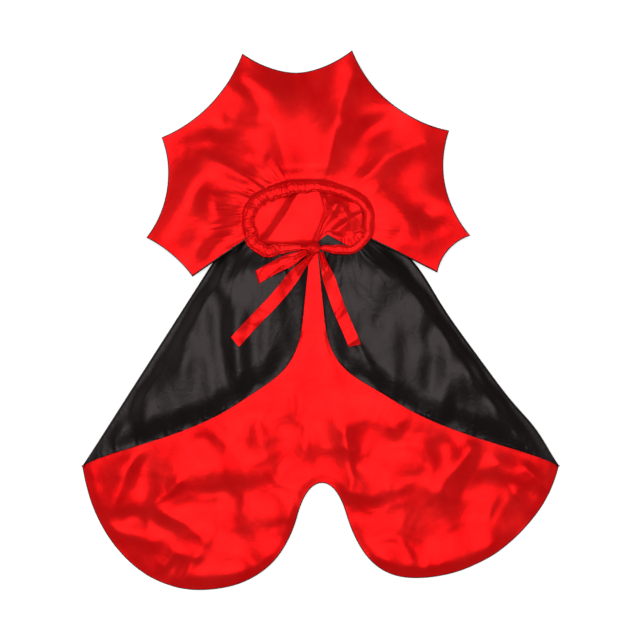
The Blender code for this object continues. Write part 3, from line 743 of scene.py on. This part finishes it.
def makeCollar():
    # Red inside up, white interlining, black outside. The black one is larger and shows as a dark edge.
    edge = collarEdge()
    bearing = np.unwrap(np.arctan2(edge[:, 1], edge[:, 0]))
    if bearing[0] < 0:
        bearing = bearing + math.tau
    front = math.radians(collar["frontTurn"])
    turn = (math.pi + front) + (bearing - bearing[0]) * ((math.pi + 2 * front) / (bearing[0] - bearing[-1]))
    root = neckPoint(turn, np.full(len(turn), collar["rootOut"]))
    ruling = (edge - root) / np.linalg.norm(edge - root, axis=1, keepdims=True)
    slant = np.abs(np.sum(ruling * leftNormals(edge), axis=1, keepdims=True))
    ends = np.exp(-np.linspace(0, 1, len(edge)) * 150)[:, None]
    down = shares(84, 0.004)
    layers = []
    for name, part, material, slot, smaller, lower, endsLower, thickness, below in (
        ("collarInner", "inner", redSatin, "red_satin", 0.9, 0.0, 0.0, 0.3, "collarStiffener"),
        ("collarStiffener", "stiffener", whiteInterlining, "collar_stiffener", 3.5, 0.42, 0.3, 0.25,
         "collarOuter"),
        ("collarOuter", "outer", blackSatin, "black_satin", 0.0, 0.8, 0.0, 0.3, "leftFrontShell"),
    ):
        rim = edge - ruling * np.minimum(smaller / np.maximum(slant, 0.2), 2.2 * smaller)
        pull = 1.2 * smaller * (ends - ends[::-1])    # the ends of the smaller layers stop short too
        rim, inner = rim + pull * tangents(edge), root + 1.5 * pull * tangents(root)
        plan = inner[None] * (1 - down[:, None, None]) + rim[None] * down[:, None, None]
        height = collarHeight(plan[..., 0], plan[..., 1]) - lower
        height = height - endsLower * (ends + ends[::-1])[:, 0]
        rise = np.exp(-((down / 0.02) ** 2))[:, None]
        points = raised(plan, height * (1 - rise) + rise * (collar["rootHeight"] - lower))
        piece = gridMesh(name, points[::-1])
        nodes = [f"collar_{side}_{part}" for side in ("back", "left", "right")]
        finishPiece(piece, material, nodes, thickness)
        layers.append((piece, border(plan), below))
    for piece, outline, below in layers:
        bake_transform(piece)


casing = {
    "halfWidth": 5.8, "narrower": 0.34, "halfHeight": 1.9, "middle": 9.5, "gather": 0.85,
    "leftEnd": 12.0, "rightEnd": 8.0, "fromKnot": 4.5,
}


def ringPath(first, last, count):
    # Evenly spaced along the middle line from the knot round the left of the neck, sagging in front
    line = neckPoint(-math.pi / 2 - np.linspace(0, math.tau, 1600))
    front = ease(-line[:, 1] / 20)
    leftSag = 5.5 * np.exp(-(((line[:, 0] + 43) / 13) ** 2))
    rightSag = 4.0 * np.exp(-(((line[:, 0] - 37) / 13) ** 2))
    line[:, 1] -= front * (leftSag + rightSag)
    total = lengthAlong(line)[-1]
    return atShares(line, np.linspace(first, total - last, count) / total), total


def besideRing(path, out, far):
    # Places moved outwards from a path, as x and y
    return path[:, None, 0] + out[:, None, 0] * far, path[:, None, 1] + out[:, None, 1] * far


def makeCasing():
    # A flat oval carried round the ring, its radius pushed in and out by slanting gathers that are sharpest
    # at the two sewn edges
    first, last = casing["leftEnd"] - casing["fromKnot"], casing["rightEnd"] + casing["fromKnot"]
    path, total = ringPath(first, last, 620)
    run = lengthAlong(path)
    out = leftNormals(path)      # the ring runs clockwise, so its left is the outside
    turn = np.linspace(0, math.tau, 37)[:-1]
    s, t = np.meshgrid(run, turn, indexing="ij")
    ends = ease(np.minimum(run / 26, (run[-1] - run) / 20))[:, None]
    narrow = casing["narrower"] * ease((s / total - 0.42) / 0.14) * ease((0.93 - s / total) / 0.10)
    half = casing["halfWidth"] * (0.42 + 0.58 * ends) * (1 - narrow)
    high = casing["halfHeight"] * (0.62 + 0.38 * ends)
    sewn = np.abs(np.cos(t)) ** 2
    folds = crumple(s + 1.3 * np.cos(t), 0.9 * np.cos(t), 91, 4.6) - 0.42
    fine = crumple(s - 0.9 * np.cos(t), 0.8 * np.cos(t), 95, 2.3) - 0.42
    drawn = 0.35 + 0.85 * ease((0.62 - s / total) / 0.3) + 0.25 * np.exp(-(((s / total - 0.27) / 0.09) ** 2))
    push = casing["gather"] * ends * drawn * (1.7 * folds * (0.7 + 0.6 * sewn) + 0.9 * fine)
    besideSeam = np.exp(-(((np.abs(np.cos(t)) - 0.76) / 0.09) ** 2))
    flatter = 1 - 0.30 * besideSeam * (0.8 + 0.5 * drift(s, t * 0, 97, 9.0, 6))
    wide = (half + push) * np.cos(t)
    tall = (high * flatter + push) * np.sign(np.sin(t)) * np.abs(np.sin(t)) ** 0.6
    swing = 0.7 * drift(run, run * 0, 99, 16.0, 8) * ends[:, 0]
    x, y = besideRing(path + out * swing[:, None], out, wide)
    middle = casing["middle"] + 0.35 * drift(run, run * 0, 98, 30.0, 6)
    points = np.stack([x, y, middle[:, None] + tall], axis=-1)
    flat = np.stack([s * 1.5, t / math.tau * 28], axis=-1)
    ring = gridMesh("neckCasing", points, flat, ring=True)
    finishPiece(ring, redSatin, ["neck_casing"], 0.3)
    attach(ring, "cape")


def makeTieInCasing():
    # The ribbon inside the casing, folded on itself into a narrow wave
    path, total = ringPath(1.0, 1.0, 420)
    s, t = np.meshgrid(lengthAlong(path), np.linspace(-1, 1, 22), indexing="ij")
    wide = 1.55 * np.sin(t * 4.6) * (1 + 0.15 * drift(s, t * 4, 83, 9.0, 6))
    x, y = besideRing(path, leftNormals(path), wide)
    tall = 1.25 * t + 0.35 * np.cos(t * 4.6)
    points = np.stack([x, y, casing["middle"] + tall], axis=-1)
    band = gridMesh("tieInCasing", points, np.stack([s, t * 5.5], axis=-1))
    finishPiece(band, redSatin, ["tie_in_casing"], 0.25)
    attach(band, "cape")


facing = {
    # folds: line, rise, width on its left, width on its right, crest, fade
    "folds": (
        (((5, -22), (14, -7), (23, 5), (26, 12)), 3.0, 3.4, 7.0, 0.6, 0.8),
        (((24, 12), (38, 14), (50, 11)), 2.0, 5.0, 7.0, 0.8, 0.8),
        (((25, -13), (40, -3), (55, 6)), 2.6, 4.0, 15.0, 0.6, 0.9),
        (((33, 6), (36, 0), (35, -7)), 1.4, 4.0, 4.0, 0.6, 0.7),
        (((13, 20), (16, 12), (22, 8)), 2.0, 3.0, 5.0, 0.6, 0.8),
        (((30, -14), (42, -20), (50, -26)), 1.4, 9.0, 6.0, 1.5, 0.8),
    ),
    "rise": 1.2, "floor": 4.8,
}


def makeFacing():
    # The right front's facing: a loose piece of cloth pushed into sharp folds between the knot and the
    # right of the casing
    outline = ((10, 22), (50, 15), (53, -27.5), (43, -30.5), (17.2, -16.4), (4, -27))
    corners = [np.array(p, float) for p in outline]
    across, down = shares(84, 0.004), shares(84, 0.004)
    top = atShares(np.array([corners[0], (32, 23), corners[1]]), across)
    right = atShares(np.array([corners[1], (55, 0), corners[2]]), down)
    bottom = atShares(np.array([corners[5], corners[4], corners[3], corners[2]]), across)
    left = atShares(np.array([corners[0], (14, 4), corners[5]]), down)
    plan = patch(top, bottom, left, right, across, down)
    x, y = plan[..., 0], plan[..., 1]
    height = facing["rise"] * (crumple(x, y, 133, 30.0, 3) + 0.22 * crumple(x, y, 137, 8.0, 4))
    for line, rise, l, r, crest, fade in facing["folds"]:
        height = height + foldAlong(x, y, line, rise, l, r, crest, fade)
    edge = np.minimum(np.minimum(across, 1 - across)[None, :], np.minimum(down, 1 - down)[:, None])
    height = facing["floor"] + (height - 0.6) * (0.25 + 0.75 * ease(edge * 9))
    # It lies on the front where it covers it, and on the back above that
    covers = ease((np.interp(x, (4, 9.5, 16, 30, 46, 58), (-34, -24, -14, -17, -17, -8)) + 5 - y) / 4)
    under = backHeight(x, y) + 0.6 + covers * (frontHeight(x, y, 1) - backHeight(x, y) + 0.3)
    piece = gridMesh("neckFacing", raised(plan, np.minimum(higher(height, under, 0.4), 9.5)))
    finishPiece(piece, redSatin, ["neck_facing"], 0.3)
    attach(piece, "cape")


tie = {"width": 11.8, "cloth": 0.45, "pinch": 5.0, "flare": 30.0, "above": 0.75}


def acrossRibbon():
    # Even shares from one edge to the other, with one more beside each edge
    share = np.linspace(-1, 1, 19)
    return np.concatenate(([-1, -0.97], share[1:-1], [0.97, 1]))


def ribbon(name, root, along, length, side, wave, seed):
    # Width opens from the pinch by an eased share of the flare. Height follows the front it lies on,
    # with slow waves and a cross curl.
    s, t = np.meshgrid(shares(150, 0.002) * length, acrossRibbon(), indexing="ij")
    width = tie["pinch"] + (tie["width"] - tie["pinch"]) * ease(s / tie["flare"])
    bend = wave * np.sin(s / length * math.pi) + 0.5 * drift(s, s * 0, seed, 55.0, 5)
    across = np.array((-along[1], along[0]))
    cut = 0.9 * t * (s / length) ** 40
    x = root[0] + along[0] * (s + cut) + across[0] * (width / 2 * t + bend)
    y = root[1] + along[1] * (s + cut) + across[1] * (width / 2 * t + bend)
    pinched = 1 - ease(s / 26)
    height = frontHeight(x, y, side) + tie["above"]
    smooth = height.mean(axis=1, keepdims=True)
    height = smooth + 0.6 * (height - smooth) + 0.35
    curl = 0.45 * (1 + drift(s, t * 2.2, seed + 1, 26.0, 6)) * (0.3 + 0.7 * t * t)
    height += pinched * (0.8 * np.cos(t * 6.0) + 0.7) + curl
    height += 1.5 * crumple(s + 2.5 * t, t * 2, seed + 2, 17.0, 3)
    points, flat = np.stack([x, y, height], axis=-1), np.stack([s, t * 6], axis=-1)
    return gridMesh(name, points[:, ::-1], flat[:, ::-1])


def makeEnds():
    # Both ends lie on the fronts and ride on their own bodies
    for name, node, rider, root, along, length, side, wave, seed in (
        ("tieLeftEnd", "tie_left_end", "left_end", (2.1, -36.7), (-0.660, -0.751), 109.0, 0, 1.2, 151),
        ("tieRightEnd", "tie_right_end", "right_end", (11.4, -33.6), (0.336, -0.942), 94.0, 1, -1.4, 161),
    ):
        piece = ribbon(name, root, along, length, side, wave, seed)
        finishPiece(piece, redSatin, [node], tie["cloth"])
        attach(piece, rider)


loop = {
    "length": 53.0, "root": (-1.7, -33.6), "along": (-0.894, -0.449), "low": 8.9, "gap": 3.2, "flare": 22.0,
}


def makeLoop():
    # One ribbon out along the lower run, round a half circle at the tip and back along the upper run
    radius = loop["gap"] / 2
    straight = loop["length"] - radius
    bend = math.pi * radius
    run = np.linspace(0, 2 * straight + bend, 190)
    turn = np.clip((run - straight) / radius, 0, math.pi)
    back = np.where(run < straight + bend, straight + radius * np.sin(turn), 2 * straight + bend - run)
    out = np.where(run < straight, run, back)
    up = loop["low"] + radius * (1 - np.cos(turn))
    s, t = np.meshgrid(run, acrossRibbon(), indexing="ij")
    o = np.broadcast_to(out[:, None], s.shape)
    width = tie["pinch"] + (tie["width"] + 1.0 - tie["pinch"]) * ease(o / loop["flare"])
    lower = 1 - ease((s - straight + 4) / 12)
    upper = 1 - lower
    along = np.array(loop["along"])
    across = np.array((-along[1], along[0]))
    tilt = -0.018 * lower * o + 0.8 * np.sin(o / loop["length"] * math.pi)
    forward = o + 1.2 * t * (o / loop["length"]) ** 6
    sideways = width / 2 * t * (1 - 0.06 * upper) - tilt
    x = loop["root"][0] + along[0] * forward + across[0] * sideways
    y = loop["root"][1] + along[1] * forward + across[1] * sideways
    puff = np.sin(np.clip(o / loop["length"], 0, 1) * math.pi)
    z = up[:, None] + upper * puff * (1.5 - 1.0 * t * t) - lower * 0.3 * puff
    creases = upper * 0.9 * crumple(o * 0.35, t * 6.0, 171, 3.4, 3) * (0.4 + 0.6 * (1 - o / loop["length"]))
    z = z + creases + upper * (1 - ease(o / 18)) * 0.8 * np.cos(t * 7)
    points = np.stack([x, y, z], axis=-1)
    piece = gridMesh("tieLoop", points, np.stack([s, t * 6], axis=-1))
    finishPiece(piece, redSatin, ["tie_loop"], tie["cloth"])
    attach(piece, "loop")


knot = {"centre": (4.5, -30.2, 9.4), "radii": (6.4, 5.2, 2.4)}


def makeKnot():
    # A ball with flattened sides, creased by the turns of ribbon that cross it, under one slanting wrap
    turn, tilt = np.meshgrid(np.linspace(0, math.tau, 121)[:-1], np.linspace(0, math.pi, 64), indexing="ij")
    turn, tilt = turn.T, tilt.T
    crease = crumple(turn * 5.0 + 4.0 * np.cos(tilt), tilt * 5.0, 181, 4.2, 4) - 0.4
    seamless = ease(np.minimum(turn, math.tau - turn) / 0.5)
    swell = 1 + 0.60 * crease * seamless * np.sin(tilt) + 0.10 * np.cos(2 * turn + 0.6) * np.sin(tilt) ** 2
    a, b, c = knot["radii"]
    cx, cy, cz = knot["centre"]
    x = cx + a * swell * np.sin(tilt) * np.cos(turn)
    y = cy + b * swell * np.sin(tilt) * np.sin(turn)
    z = cz + c * swell * np.sign(np.cos(tilt)) * np.abs(np.cos(tilt)) ** 0.7
    points = np.stack([x, y, z], axis=-1)
    ball = gridMesh("tieKnot", points, np.stack([turn * 6, tilt * 6], axis=-1), ring=True)
    finishPiece(ball, redSatin, ["tie_knot"])
    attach(ball, "cape")

    around, share = np.meshgrid(np.radians(np.linspace(-112, 112, 90)), np.linspace(-1, 1, 19), indexing="ij")
    half = 2.9 + 1.3 * (1 - np.cos(around)) * 0.5
    lift = 1.0 + 0.045 * np.cos(share * 6.5) + 0.05 * crumple(around * 4, share * 3, 183, 2.4, 3)
    lean = math.radians(28)
    ox, oz = np.sin(around) * (b + 0.9) * lift, np.cos(around) * (c + 0.9) * lift
    oy = half * share
    x = cx + oy * math.cos(lean) + ox * math.sin(lean)
    y = cy - oy * math.sin(lean) + ox * math.cos(lean)
    points, flat = np.stack([x, y, cz + oz], axis=-1), np.stack([around * 6, share * 3], axis=-1)
    wrap = gridMesh("tieKnotWrap", points[:, ::-1], flat[:, ::-1])
    finishPiece(wrap, redSatin, ["tie_knot"], 0.4)
    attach(wrap, "cape")


def makeStudio():
    # A pale floor, one large soft light overhead and two weak ones at the sides
    half = 3.0
    mesh = bpy.data.meshes.new("paleFloor")
    corners = [(-half, -half, 0), (half, -half, 0), (half, half, 0), (-half, half, 0)]
    mesh.from_pydata(corners, [], [(0, 1, 2, 3)])
    floor = bpy.data.objects.new("paleFloor", mesh)
    bpy.context.scene.collection.objects.link(floor)
    shade = Shade("palePaper", {
        "Specular IOR Level": 0.0, "Roughness": 1.0, "Base Color": (0.93, 0.93, 0.93, 1),
        "Emission Color": (1, 1, 1, 1), "Emission Strength": 0.55,
    })
    mesh.materials.append(shade.material)

    # Each light points at the frame's origin
    for name, power, width, place in (
        ("overheadLight", 15.5, 1.05, (-0.10, 0.14, 2.0)),
        ("leftFill", 5.0, 1.4, (-1.9, 0.6, 1.1)),
        ("rightFill", 3.0, 1.4, (1.9, -0.4, 1.2)),
    ):
        light = bpy.data.lights.new(name, "AREA")
        light.energy, light.size = power, width
        lamp = bpy.data.objects.new(name, light)
        bpy.context.scene.collection.objects.link(lamp)
        lamp.location = place
        x, y, z = place
        lamp.rotation_euler = (math.atan2(math.hypot(x, y), z), 0, math.atan2(-y, -x) - math.pi / 2)
    world = bpy.data.worlds.new("softRoom")
    bpy.context.scene.world = world
    world.use_nodes = True
    world.node_tree.nodes["Background"].inputs[0].default_value = (1, 1, 1, 1)
    world.node_tree.nodes["Background"].inputs[1].default_value = 0.25

    camera = bpy.data.cameras.new("overheadCamera")
    camera.lens, camera.sensor_width = 85.0, 36.0
    viewWidth, cameraLift = 0.608, 0.004    # metres seen across, and the camera's height above that distance
    eye = bpy.data.objects.new("overheadCamera", camera)
    bpy.context.scene.collection.objects.link(eye)
    eye.location = (-0.0005, 0.0010, viewWidth * camera.lens / camera.sensor_width + cameraLift)
    bpy.context.scene.camera = eye
    bpy.context.scene.view_settings.view_transform = "Standard"


makeStudio()
print("studio ready")
makeBack()
print("back laid out")
for side in (0, 1):
    makeFront(side)
print("fronts folded over")
makeCollar()
print("collar fanned out")
makeCasing()
makeTieInCasing()
makeFacing()
print("neck gathered")
makeEnds()
makeLoop()
makeKnot()
print("bow tied")
